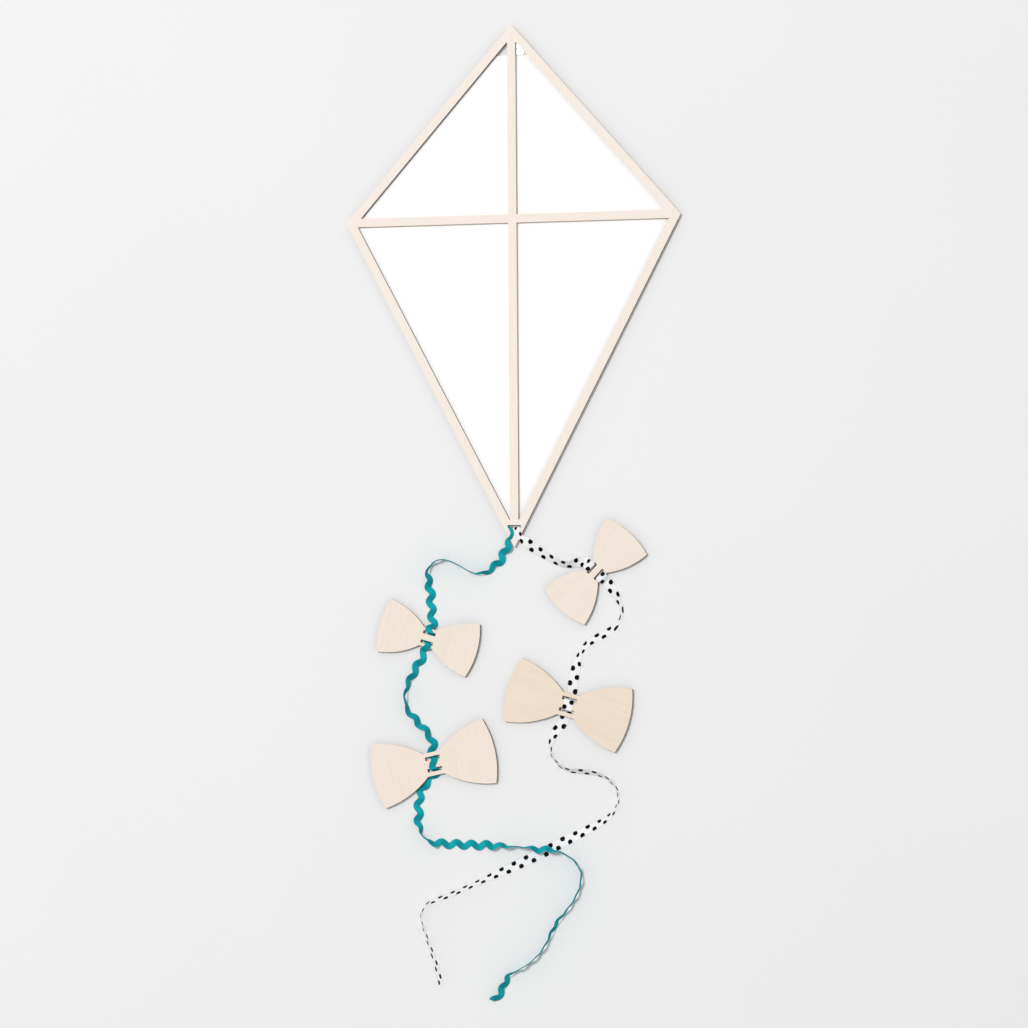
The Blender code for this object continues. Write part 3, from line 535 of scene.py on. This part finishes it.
def band(name, tail, start, finish, step, section, pace):
    """A closed strip of ribbon between two lengths. The section gives each point's place across and
    its height; attributes carry what the weave follows, slipped along the ribbon by the pace."""
    even, frames, _ = tail
    lengths = np.linspace(start, finish, max(3, round((finish - start) / step) + 1))
    rows = np.column_stack([np.interp(lengths, even, column) for column in frames.T])
    middle, onward, widthwise, upward = rows[:, :3], rows[:, 3:6], rows[:, 6:9], rows[:, 9:12]
    widths = rows[:, 12]
    across, height = section.T
    count = len(section)
    shares = widths / frames[-1, 12]
    spots = (
        middle[:, None]
        + widthwise[:, None] * (across[None, :, None] * shares[:, None, None])
        + upward[:, None] * height[None, :, None]
    )
    rings = np.arange(len(lengths))[:-1, None] * count
    corners = np.arange(count)[None, :]
    following = (corners + 1) % count
    sides = (rings + corners, rings + following, rings + count + following, rings + count + corners)
    sides = np.stack(sides, -1)
    last = (len(lengths) - 1) * count
    faces = sides.reshape(-1, 4).tolist() + [list(range(count))[::-1], list(range(last, last + count))]
    mesh = bpy.data.meshes.new(name)
    mesh.from_pydata(spots.reshape(-1, 3).tolist(), [], faces)
    mesh.validate()

    def carry(attribute, kind, values):
        field = "vector" if kind == "FLOAT_VECTOR" else "value"
        data = mesh.attributes.new(attribute, kind, "POINT").data
        data.foreach_set(field, np.ascontiguousarray(values, np.float32).ravel())

    every = (len(lengths), count)
    slipped = lengths + np.interp(lengths, *np.transpose(pace))
    carry("along", "FLOAT", np.broadcast_to(slipped[:, None], every))
    carry("across", "FLOAT", np.broadcast_to(across[None, :], every))
    carry("fullness", "FLOAT", np.broadcast_to(shares[:, None], every))
    carry("onward", "FLOAT_VECTOR", np.broadcast_to(onward[:, None], (*every, 3)))
    carry("widthwise", "FLOAT_VECTOR", np.broadcast_to(widthwise[:, None], (*every, 3)))
    carry("upward", "FLOAT_VECTOR", np.broadcast_to(upward[:, None], (*every, 3)))
    piece = bpy.data.objects.new(name, mesh)
    bpy.context.scene.collection.objects.link(piece)
    return piece


def grown(piece, tree, sizes):
    """Runs a Geometry Nodes tree on a piece with its named sizes, and leaves a plain mesh."""
    modifier = piece.modifiers.new("weave", "NODES")
    modifier.node_group = tree
    for item in tree.interface.items_tree:
        if item.in_out == "INPUT" and item.name in sizes:
            modifier[item.identifier] = sizes[item.name]
    bpy.context.view_layer.update()
    evaluated = piece.evaluated_get(bpy.context.evaluated_depsgraph_get())
    mesh = bpy.data.meshes.new_from_object(evaluated)
    piece.modifiers.remove(modifier)
    piece.data = mesh
    mesh.shade_smooth()
    mesh.set_sharp_from_angle(angle=math.radians(60))
    return piece


def new_weave(name, sizes):
    """An empty Geometry Nodes tree with a mesh in and out, and the named sizes as inputs."""
    tree = bpy.data.node_groups.new(name, "GeometryNodeTree")
    tree.interface.new_socket("Mesh", in_out="INPUT", socket_type="NodeSocketGeometry")
    for size in sizes:
        tree.interface.new_socket(size, in_out="INPUT", socket_type="NodeSocketFloat")
    tree.interface.new_socket("Mesh", in_out="OUTPUT", socket_type="NodeSocketGeometry")
    return tree, tree.nodes.new("NodeGroupInput").outputs


def tie_down(name, pieces, body_upper, body_lower, bends):
    """Ties a tail's two woven pieces to their bows' bodies, where they ride; the other pieces stay where
    they lie.
    """
    for part, (body, start, finish) in bends.items():
        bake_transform(pieces[part])
    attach(pieces["weave_upper"], body_upper)
    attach(pieces["weave_lower"], body_lower)
    for part, piece in pieces.items():
        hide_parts(f"{name}_{part}")


PARTS = ("head", "weave_upper", "middle_upper", "middle_lower", "weave_lower", "end")


def flat_section(half_width, half_thickness, edge_thickness, count):
    """A flat closed section, thicker in the middle, as (across, height) pairs. The powers below
    one crowd its points to the edges and square it off."""
    around = np.arange(count) * math.tau / count
    across = np.sign(np.cos(around)) * np.abs(np.cos(around)) ** 0.75 * half_width
    thick = edge_thickness + (half_thickness - edge_thickness) * (1.0 - (across / half_width) ** 2)
    height = np.sign(np.sin(around)) * np.abs(np.sin(around)) ** 0.4 * thick
    return np.column_stack([across, height])


# ---------------------------------------------------------------- teal ric-rac tail
# Ric-rac is a flat plait of mercerised cotton, woven under an uneven pull so that it sets in a
# wave. Dyed teal; its threads cross on the slant, and its edges are thinner than its middle.
TEAL_WIDTH = 0.0100
TAPE_WIDTH = 0.0058
WAVE_LENGTH = 0.0136
WAVE_HEIGHT = 0.0019
WAVE_START = -0.0031
PLAIT_SPACING = 0.0013
THREAD_SLANT = 1.1  # length gained along the braid for each length across it
RIB_DEPTH = 0.00003
TURN_SHARE = 0.7  # less than a full turn keeps the inner edge of each bend from folding
TAPE_THICK = (0.00042, 0.00022)  # half the thickness in the middle and at the edges
TAPE_STEP = 0.00034  # between the rings of points along it
SECTION_POINTS = 16
# How far the wave has slipped at lengths along the ribbon: the braid stretches in its bends.
TEAL_PACE = [
    (0.000, 0.0040), (0.055, 0.0045), (0.115, 0.0008), (0.165, 0.0008), (0.186, 0.0020),
    (0.200, 0.0010), (0.212, -0.0007), (0.236, -0.0018), (0.250, -0.0032), (0.264, -0.0055),
    (0.284, -0.0058), (0.300, -0.0075), (0.344, -0.0128), (0.360, -0.0124), (0.380, -0.0130),
    (0.404, -0.0123), (0.464, -0.0118), (0.510, -0.0128),
]

plait, tree = new_finish("teal_cotton_plait")
along = add(tree, "ShaderNodeAttribute", attribute_name="along").outputs["Fac"]
across = add(tree, "ShaderNodeAttribute", attribute_name="across").outputs["Fac"]
threads = []
for way in (THREAD_SLANT, -THREAD_SLANT):
    slant = add(tree, "ShaderNodeMath", {0: across, 1: way}, operation="MULTIPLY")
    lay = add(tree, "ShaderNodeMath", {0: along, 1: slant}, operation="ADD")
    turns = add(tree, "ShaderNodeMath", {0: lay, 1: math.pi / PLAIT_SPACING}, operation="MULTIPLY")
    crest = add(tree, "ShaderNodeMath", {0: turns}, operation="SINE")
    threads.append(add(tree, "ShaderNodeMath", {0: crest}, operation="ABSOLUTE"))
crossing = add(tree, "ShaderNodeMath", {0: threads[0], 1: threads[1]}, operation="MULTIPLY")
place = add(tree, "ShaderNodeTexCoord").outputs["Object"]
fuzz = add(tree, "ShaderNodeTexNoise", {"Vector": place, "Scale": 3500.0, "Detail": 2.0})
dye = add(tree, "ShaderNodeTexNoise", {"Vector": place, "Scale": 160.0, "Detail": 2.0})
# Painted sheen: the colour is lighter on one slope of the wave than on the other, as if the mercerised
# thread caught the light there.
phase = add(tree, "ShaderNodeMath", {0: along, 1: WAVE_START}, operation="ADD")
angle = add(tree, "ShaderNodeMath", {0: phase, 1: math.tau / WAVE_LENGTH}, operation="MULTIPLY")
slope = add(tree, "ShaderNodeMath", {0: angle}, operation="COSINE")
painted_sheen_slope = add(tree, "ShaderNodeMapRange", {"Value": slope, 1: -0.9, 2: 0.9})
# Painted shade: the plait is painted bright teal where the threads cross and dull teal in the hollows
# between them.
tones = []
for share, dull, bright in (
    (crossing, "058A94", "14DCE8"), (dye, "BEDDE0", "FFFFFF"), (painted_sheen_slope, "BCD4D6", "FFFFFF"),
):
    pair = {"Factor": share, 6: linear(dull), 7: linear(bright)}
    tones.append(add(tree, "ShaderNodeMix", pair, data_type="RGBA").outputs[2])
tone = tones[0]
for over in tones[1:]:
    layer = {"Factor": 1.0, 6: tone, 7: over}
    tone = add(tree, "ShaderNodeMix", layer, data_type="RGBA", blend_type="MULTIPLY").outputs[2]
relief = add(tree, "ShaderNodeMath", {0: fuzz, 1: 0.25, 2: crossing}, operation="MULTIPLY_ADD")
bump = add(tree, "ShaderNodeBump", {"Height": relief, "Strength": 0.6, "Distance": 0.0002})
shader = add(tree, "ShaderNodeBsdfPrincipled", {"Base Color": tone, "Normal": bump})
shader.inputs["Roughness"].default_value = 0.68
shader.inputs["Specular IOR Level"].default_value = 0.10
shader.inputs["Sheen Weight"].default_value = 0.05
shader.inputs["Sheen Roughness"].default_value = 0.4
shader.inputs["Sheen Tint"].default_value = linear("9FE6E8")
add(tree, "ShaderNodeOutputMaterial", {"Surface": shader})

# The wave: each point of a straight tape moves sideways by a sine of its length along the tape,
# and the tape's width turns with the wave. Fine ribs follow the plait.
wave_sizes = ("Wave Length", "Wave Height", "Rib Spacing", "Rib Depth", "Start")
tree, given = new_weave("ricrac_wave", wave_sizes)
wave_tree = tree
carried = {}
for name, kind in (
    ("along", "FLOAT"), ("across", "FLOAT"), ("fullness", "FLOAT"),
    ("onward", "FLOAT_VECTOR"), ("widthwise", "FLOAT_VECTOR"),
):
    stored = add(tree, "GeometryNodeInputNamedAttribute", {"Name": name}, data_type=kind)
    carried[name] = stored.outputs["Attribute"]
length = add(tree, "ShaderNodeMath", {0: carried["along"], 1: given["Start"]}, operation="ADD")
turns = add(tree, "ShaderNodeMath", {0: length, 1: given["Wave Length"]}, operation="DIVIDE")
angle = add(tree, "ShaderNodeMath", {0: turns, 1: math.tau}, operation="MULTIPLY")
sine = add(tree, "ShaderNodeMath", {0: angle}, operation="SINE")
cosine = add(tree, "ShaderNodeMath", {0: angle}, operation="COSINE")
swell = {0: given["Wave Height"], 1: carried["fullness"]}
height = add(tree, "ShaderNodeMath", swell, operation="MULTIPLY")
swing = add(tree, "ShaderNodeMath", {0: sine, 1: height}, operation="MULTIPLY")
share = add(tree, "ShaderNodeMath", {0: height, 1: given["Wave Length"]}, operation="DIVIDE")
steepness = add(tree, "ShaderNodeMath", {0: share, 1: math.tau}, operation="MULTIPLY")
slope = add(tree, "ShaderNodeMath", {0: cosine, 1: steepness}, operation="MULTIPLY")
turned_back = add(tree, "ShaderNodeMath", {0: slope, 1: -TURN_SHARE}, operation="MULTIPLY")
squared = {0: turned_back, 1: turned_back, 2: 1.0}
squared = add(tree, "ShaderNodeMath", squared, operation="MULTIPLY_ADD")
spread = add(tree, "ShaderNodeMath", {0: squared}, operation="SQRT")
reach = {0: carried["across"], 1: carried["fullness"]}
own_reach = add(tree, "ShaderNodeMath", reach, operation="MULTIPLY")
reach = add(tree, "ShaderNodeMath", {0: own_reach, 1: spread}, operation="DIVIDE")
back = add(tree, "ShaderNodeMath", {0: reach, 1: turned_back}, operation="MULTIPLY")
drawn_in = add(tree, "ShaderNodeMath", {0: reach, 1: own_reach}, operation="SUBTRACT")
aside = add(tree, "ShaderNodeMath", {0: swing, 1: drawn_in}, operation="ADD")
ribs = {0: carried["along"], 1: given["Rib Spacing"]}
ribs = add(tree, "ShaderNodeMath", ribs, operation="DIVIDE")
ribs = add(tree, "ShaderNodeMath", {0: ribs, 1: math.tau}, operation="MULTIPLY")
ribs = add(tree, "ShaderNodeMath", {0: ribs}, operation="SINE")
rib = add(tree, "ShaderNodeMath", {0: ribs, 1: given["Rib Depth"]}, operation="MULTIPLY")
normal = add(tree, "GeometryNodeInputNormal")
moves = []
for direction, amount in ((carried["widthwise"], aside), (carried["onward"], back), (normal, rib)):
    scaled = {0: direction, "Scale": amount}
    moves.append(add(tree, "ShaderNodeVectorMath", scaled, operation="SCALE"))
moved = add(tree, "ShaderNodeVectorMath", {0: moves[0], 1: moves[1]}, operation="ADD")
moved = add(tree, "ShaderNodeVectorMath", {0: moved, 1: moves[2]}, operation="ADD")
placed = add(tree, "GeometryNodeSetPosition", {"Geometry": given["Mesh"], "Offset": moved})
real = add(tree, "GeometryNodeRealizeInstances", {"Geometry": placed})
coloured = add(tree, "GeometryNodeSetMaterial", {"Geometry": real, "Material": plait})
add(tree, "NodeGroupOutput", {"Mesh": coloured})

teal_tail = whole_tail(
    -1, TEAL_WIDTH, "bow_teal_upper", "bow_teal_lower", TEAL_HEAD, TEAL_MIDDLE, TEAL_END,
)
teal_section = flat_section(TAPE_WIDTH / 2, *TAPE_THICK, SECTION_POINTS)
teal_sizes = {
    "Wave Length": WAVE_LENGTH, "Wave Height": WAVE_HEIGHT, "Rib Spacing": PLAIT_SPACING,
    "Rib Depth": RIB_DEPTH, "Start": WAVE_START,
}
teal_cuts = teal_tail[2]
teal_pieces = {}
for part, start, finish in zip(PARTS, teal_cuts, teal_cuts[1:]):
    tape = band(f"teal_ricrac_{part}", teal_tail, start, finish, TAPE_STEP, teal_section, TEAL_PACE)
    teal_pieces[part] = grown(tape, wave_tree, teal_sizes)
tie_down("teal_ribbon", teal_pieces, "weave_teal_upper", "weave_teal_lower", {
    "head": ("weave_teal_upper", (-0.078, -0.318, 0.0), (-0.0765, -0.359, 0.0)),
    "middle_upper": ("weave_teal_upper", (-0.100, -0.424, 0.0), (-0.083, -0.391, 0.0)),
    "middle_lower": ("weave_teal_lower", (-0.085, -0.442, 0.0), (-0.085, -0.478, 0.0)),
    "end": ("weave_teal_lower", (-0.085, -0.530, 0.0), (-0.085, -0.502, 0.0)),
})


# ---------------------------------------------------------------- dotted satin tail
# White single-faced satin ribbon, three eighths of an inch wide, printed with black dots in two
# staggered rows. Each edge is a firm woven selvedge, its yarn painted grey as a thin line of shade.
DOTTED_WIDTH = 0.0095
DOT_ROWS = 0.0028  # from the ribbon's middle line to each row
DOT_PITCH = 0.0124
DOT_STAGGER = 0.56
DOT_RADIUS = 0.0023
INK_CREEP = 0.0004  # how unevenly the ink has spread
INK_BLUR = 0.00012
SELVEDGE = 0.00014  # thickness of an edge stitch
STITCH_SPACING = 0.0009
STITCH_SLANT = 0.12
STITCH_OVERLAP = 0.62  # half a stitch's length over the spacing
SATIN_THICK = (0.00018, 0.00014)
SATIN_STEP = 0.0006
WEFT_FLOATS = (0.00012, 0.0030, 1.0)  # metres along and across the ribbon
# How far the print has slipped at lengths along the ribbon.
DOTTED_PACE = [
    (0.000, 0.0008), (0.027, 0.0010), (0.039, 0.0017), (0.075, 0.0020), (0.123, 0.0052),
    (0.147, 0.0041), (0.171, -0.0016), (0.195, -0.0021), (0.207, -0.0011), (0.219, -0.0008),
    (0.243, -0.0019), (0.387, -0.0014), (0.423, 0.0042), (0.459, 0.0035), (0.507, 0.0040),
    (0.570, 0.0050),
]

satin, tree = new_finish("dotted_white_satin")
along = add(tree, "ShaderNodeAttribute", attribute_name="along").outputs["Fac"]
across = add(tree, "ShaderNodeAttribute", attribute_name="across").outputs["Fac"]
place = add(tree, "ShaderNodeTexCoord").outputs["Object"]
blot = add(tree, "ShaderNodeTexNoise", {"Vector": place, "Scale": 900.0, "Detail": 1.0})
inner = DOT_RADIUS + INK_CREEP / 2 - INK_BLUR
outer = DOT_RADIUS + INK_CREEP / 2 + INK_BLUR
inked = []
for side, shift in ((1.0, 0.0), (-1.0, DOT_STAGGER)):
    pitches = add(tree, "ShaderNodeMath", {0: along, 1: DOT_PITCH}, operation="DIVIDE")
    pitches = add(tree, "ShaderNodeMath", {0: pitches, 1: shift}, operation="ADD")
    share = add(tree, "ShaderNodeMath", {0: pitches}, operation="FRACT")
    share = add(tree, "ShaderNodeMath", {0: share, 1: 0.5}, operation="SUBTRACT")
    from_dot = add(tree, "ShaderNodeMath", {0: share, 1: DOT_PITCH}, operation="MULTIPLY")
    from_row = add(tree, "ShaderNodeMath", {0: across, 1: side * DOT_ROWS}, operation="SUBTRACT")
    far = add(tree, "ShaderNodeMath", {0: from_row, 1: 2.0}, operation="POWER")
    far = add(tree, "ShaderNodeMath", {0: from_dot, 1: from_dot, 2: far}, operation="MULTIPLY_ADD")
    far = add(tree, "ShaderNodeMath", {0: far}, operation="SQRT")
    ragged = add(tree, "ShaderNodeMath", {0: blot, 1: INK_CREEP, 2: far}, operation="MULTIPLY_ADD")
    inked.append(add(tree, "ShaderNodeMapRange", {"Value": ragged, 1: outer, 2: inner}))
ink = add(tree, "ShaderNodeMath", {0: inked[0], 1: inked[1]}, operation="MAXIMUM")
weft = add(tree, "ShaderNodeCombineXYZ", {"X": along, "Y": across})
drawn_out = {"Vector": weft, "Scale": WEFT_FLOATS}
fine = add(tree, "ShaderNodeMapping", drawn_out, vector_type="TEXTURE")
floats = add(tree, "ShaderNodeTexNoise", {"Vector": fine, "Scale": 1.0, "Detail": 3.0})
whites = {"Factor": floats, 6: linear("EAEAEC"), 7: linear("F3F3F5")}
white = add(tree, "ShaderNodeMix", whites, data_type="RGBA").outputs[2]
inks = {"Factor": ink, 6: white, 7: linear("030303")}
printed = add(tree, "ShaderNodeMix", inks, data_type="RGBA").outputs[2]
bump = add(tree, "ShaderNodeBump", {"Height": floats, "Strength": 0.15, "Distance": 0.00005})
shader = add(tree, "ShaderNodeBsdfPrincipled", {"Base Color": printed, "Normal": bump})
shader.inputs["Roughness"].default_value = 0.5
shader.inputs["Specular IOR Level"].default_value = 0.05
add(tree, "ShaderNodeOutputMaterial", {"Surface": shader})

# Selvedge thread: the same white yarn doubled, in short twisted stitches, painted grey as a painted line of
# shade along each edge.
yarn, tree = new_finish("selvedge_yarn_painted_shade")
place = add(tree, "ShaderNodeTexCoord").outputs["Object"]
twist = add(tree, "ShaderNodeTexNoise", {"Vector": place, "Scale": 2500.0, "Detail": 2.0})
greys = {"Factor": twist, 6: linear("ABABAF"), 7: linear("C8C8CC")}
tone = add(tree, "ShaderNodeMix", greys, data_type="RGBA").outputs[2]
shader = add(tree, "ShaderNodeBsdfPrincipled", {"Base Color": tone})
shader.inputs["Roughness"].default_value = 0.6
add(tree, "ShaderNodeOutputMaterial", {"Surface": shader})

# The stitches stand at even steps along each edge of the band, turned along it and a little upward.
stitch_sizes = ("Stitch Spacing", "Stitch Thickness", "Edge", "Slant")
tree, given = new_weave("selvedge_stitches", stitch_sizes)
edge_tree = tree
carried = {}
for name, kind in (("across", "FLOAT"), ("upward", "FLOAT_VECTOR"), ("stitch", "BOOLEAN")):
    stored = add(tree, "GeometryNodeInputNamedAttribute", {"Name": name}, data_type=kind)
    carried[name] = stored.outputs["Attribute"]
from_middle = add(tree, "ShaderNodeMath", {0: carried["across"]}, operation="ABSOLUTE")
outermost = {0: from_middle, 1: given["Edge"]}
outermost = add(tree, "FunctionNodeCompare", outermost, operation="GREATER_THAN")
edges = {"Geometry": given["Mesh"], "Selection": outermost}
edges = add(tree, "GeometryNodeSeparateGeometry", edges)
lines = add(tree, "GeometryNodeMeshToCurve", {"Mesh": edges.outputs["Selection"]})
evenly = {"Curve": lines, "Length": given["Stitch Spacing"]}
evenly = add(tree, "GeometryNodeResampleCurve", evenly, mode="LENGTH")
ball = add(tree, "GeometryNodeMeshIcoSphere", {"Radius": 1.0, "Subdivisions": 1})
marked = {"Geometry": ball, "Name": "stitch", "Value": True}
marked = add(tree, "GeometryNodeStoreNamedAttribute", marked, data_type="BOOLEAN", domain="POINT")
raised = {0: carried["upward"], "Scale": given["Slant"]}
raised = add(tree, "ShaderNodeVectorMath", raised, operation="SCALE")
tangent = add(tree, "GeometryNodeInputTangent")
leaning = add(tree, "ShaderNodeVectorMath", {0: raised, 1: tangent}, operation="ADD")
turned = add(tree, "FunctionNodeAlignRotationToVector", {"Vector": leaning}, axis="X")
longways = {0: given["Stitch Spacing"], 1: STITCH_OVERLAP}
longways = add(tree, "ShaderNodeMath", longways, operation="MULTIPLY")
thick = given["Stitch Thickness"]
size = add(tree, "ShaderNodeCombineXYZ", {"X": longways, "Y": thick, "Z": thick})
sewn_on = {"Points": evenly, "Instance": marked, "Rotation": turned, "Scale": size}
stitches = add(tree, "GeometryNodeInstanceOnPoints", sewn_on)
joined = add(tree, "GeometryNodeJoinGeometry", {0: stitches})
tree.links.new(given["Mesh"], joined.inputs[0])
real = add(tree, "GeometryNodeRealizeInstances", {"Geometry": joined})
printed_band = add(tree, "GeometryNodeSetMaterial", {"Geometry": real, "Material": satin})
sewn = {"Geometry": printed_band, "Selection": carried["stitch"], "Material": yarn}
sewn = add(tree, "GeometryNodeSetMaterial", sewn)
add(tree, "NodeGroupOutput", {"Mesh": sewn})

dotted_tail = whole_tail(
    1, DOTTED_WIDTH, "bow_dotted_upper", "bow_dotted_lower", DOTTED_HEAD, DOTTED_MIDDLE, DOTTED_END,
)
half_band = DOTTED_WIDTH / 2 - SELVEDGE
dotted_section = flat_section(half_band, *SATIN_THICK, SECTION_POINTS)
dotted_sizes = {
    "Stitch Spacing": STITCH_SPACING, "Stitch Thickness": SELVEDGE, "Edge": 0.98 * half_band,
    "Slant": STITCH_SLANT,
}
dotted_cuts = dotted_tail[2]
dotted_pieces = {}
for part, start, finish in zip(PARTS, dotted_cuts, dotted_cuts[1:]):
    strip = band(f"dotted_satin_{part}", dotted_tail, start, finish, SATIN_STEP, dotted_section, DOTTED_PACE)
    dotted_pieces[part] = grown(strip, edge_tree, dotted_sizes)
    dotted_pieces[part].visible_shadow = False  # light comes through satin this thin
tie_down("dotted_ribbon", dotted_pieces, "weave_dotted_upper", "weave_dotted_lower", {
    "head": ("weave_dotted_upper", (0.035, -0.307, 0.0), (0.062, -0.310, 0.0)),
    "middle_upper": ("weave_dotted_upper", (0.097, -0.352, 0.0), (0.083, -0.329, 0.0)),
    "middle_lower": ("weave_dotted_lower", (0.055, -0.385, 0.0), (0.055, -0.424, 0.0)),
    "end": ("weave_dotted_lower", (0.035, -0.480, 0.0), (0.035, -0.450, 0.0)),
})
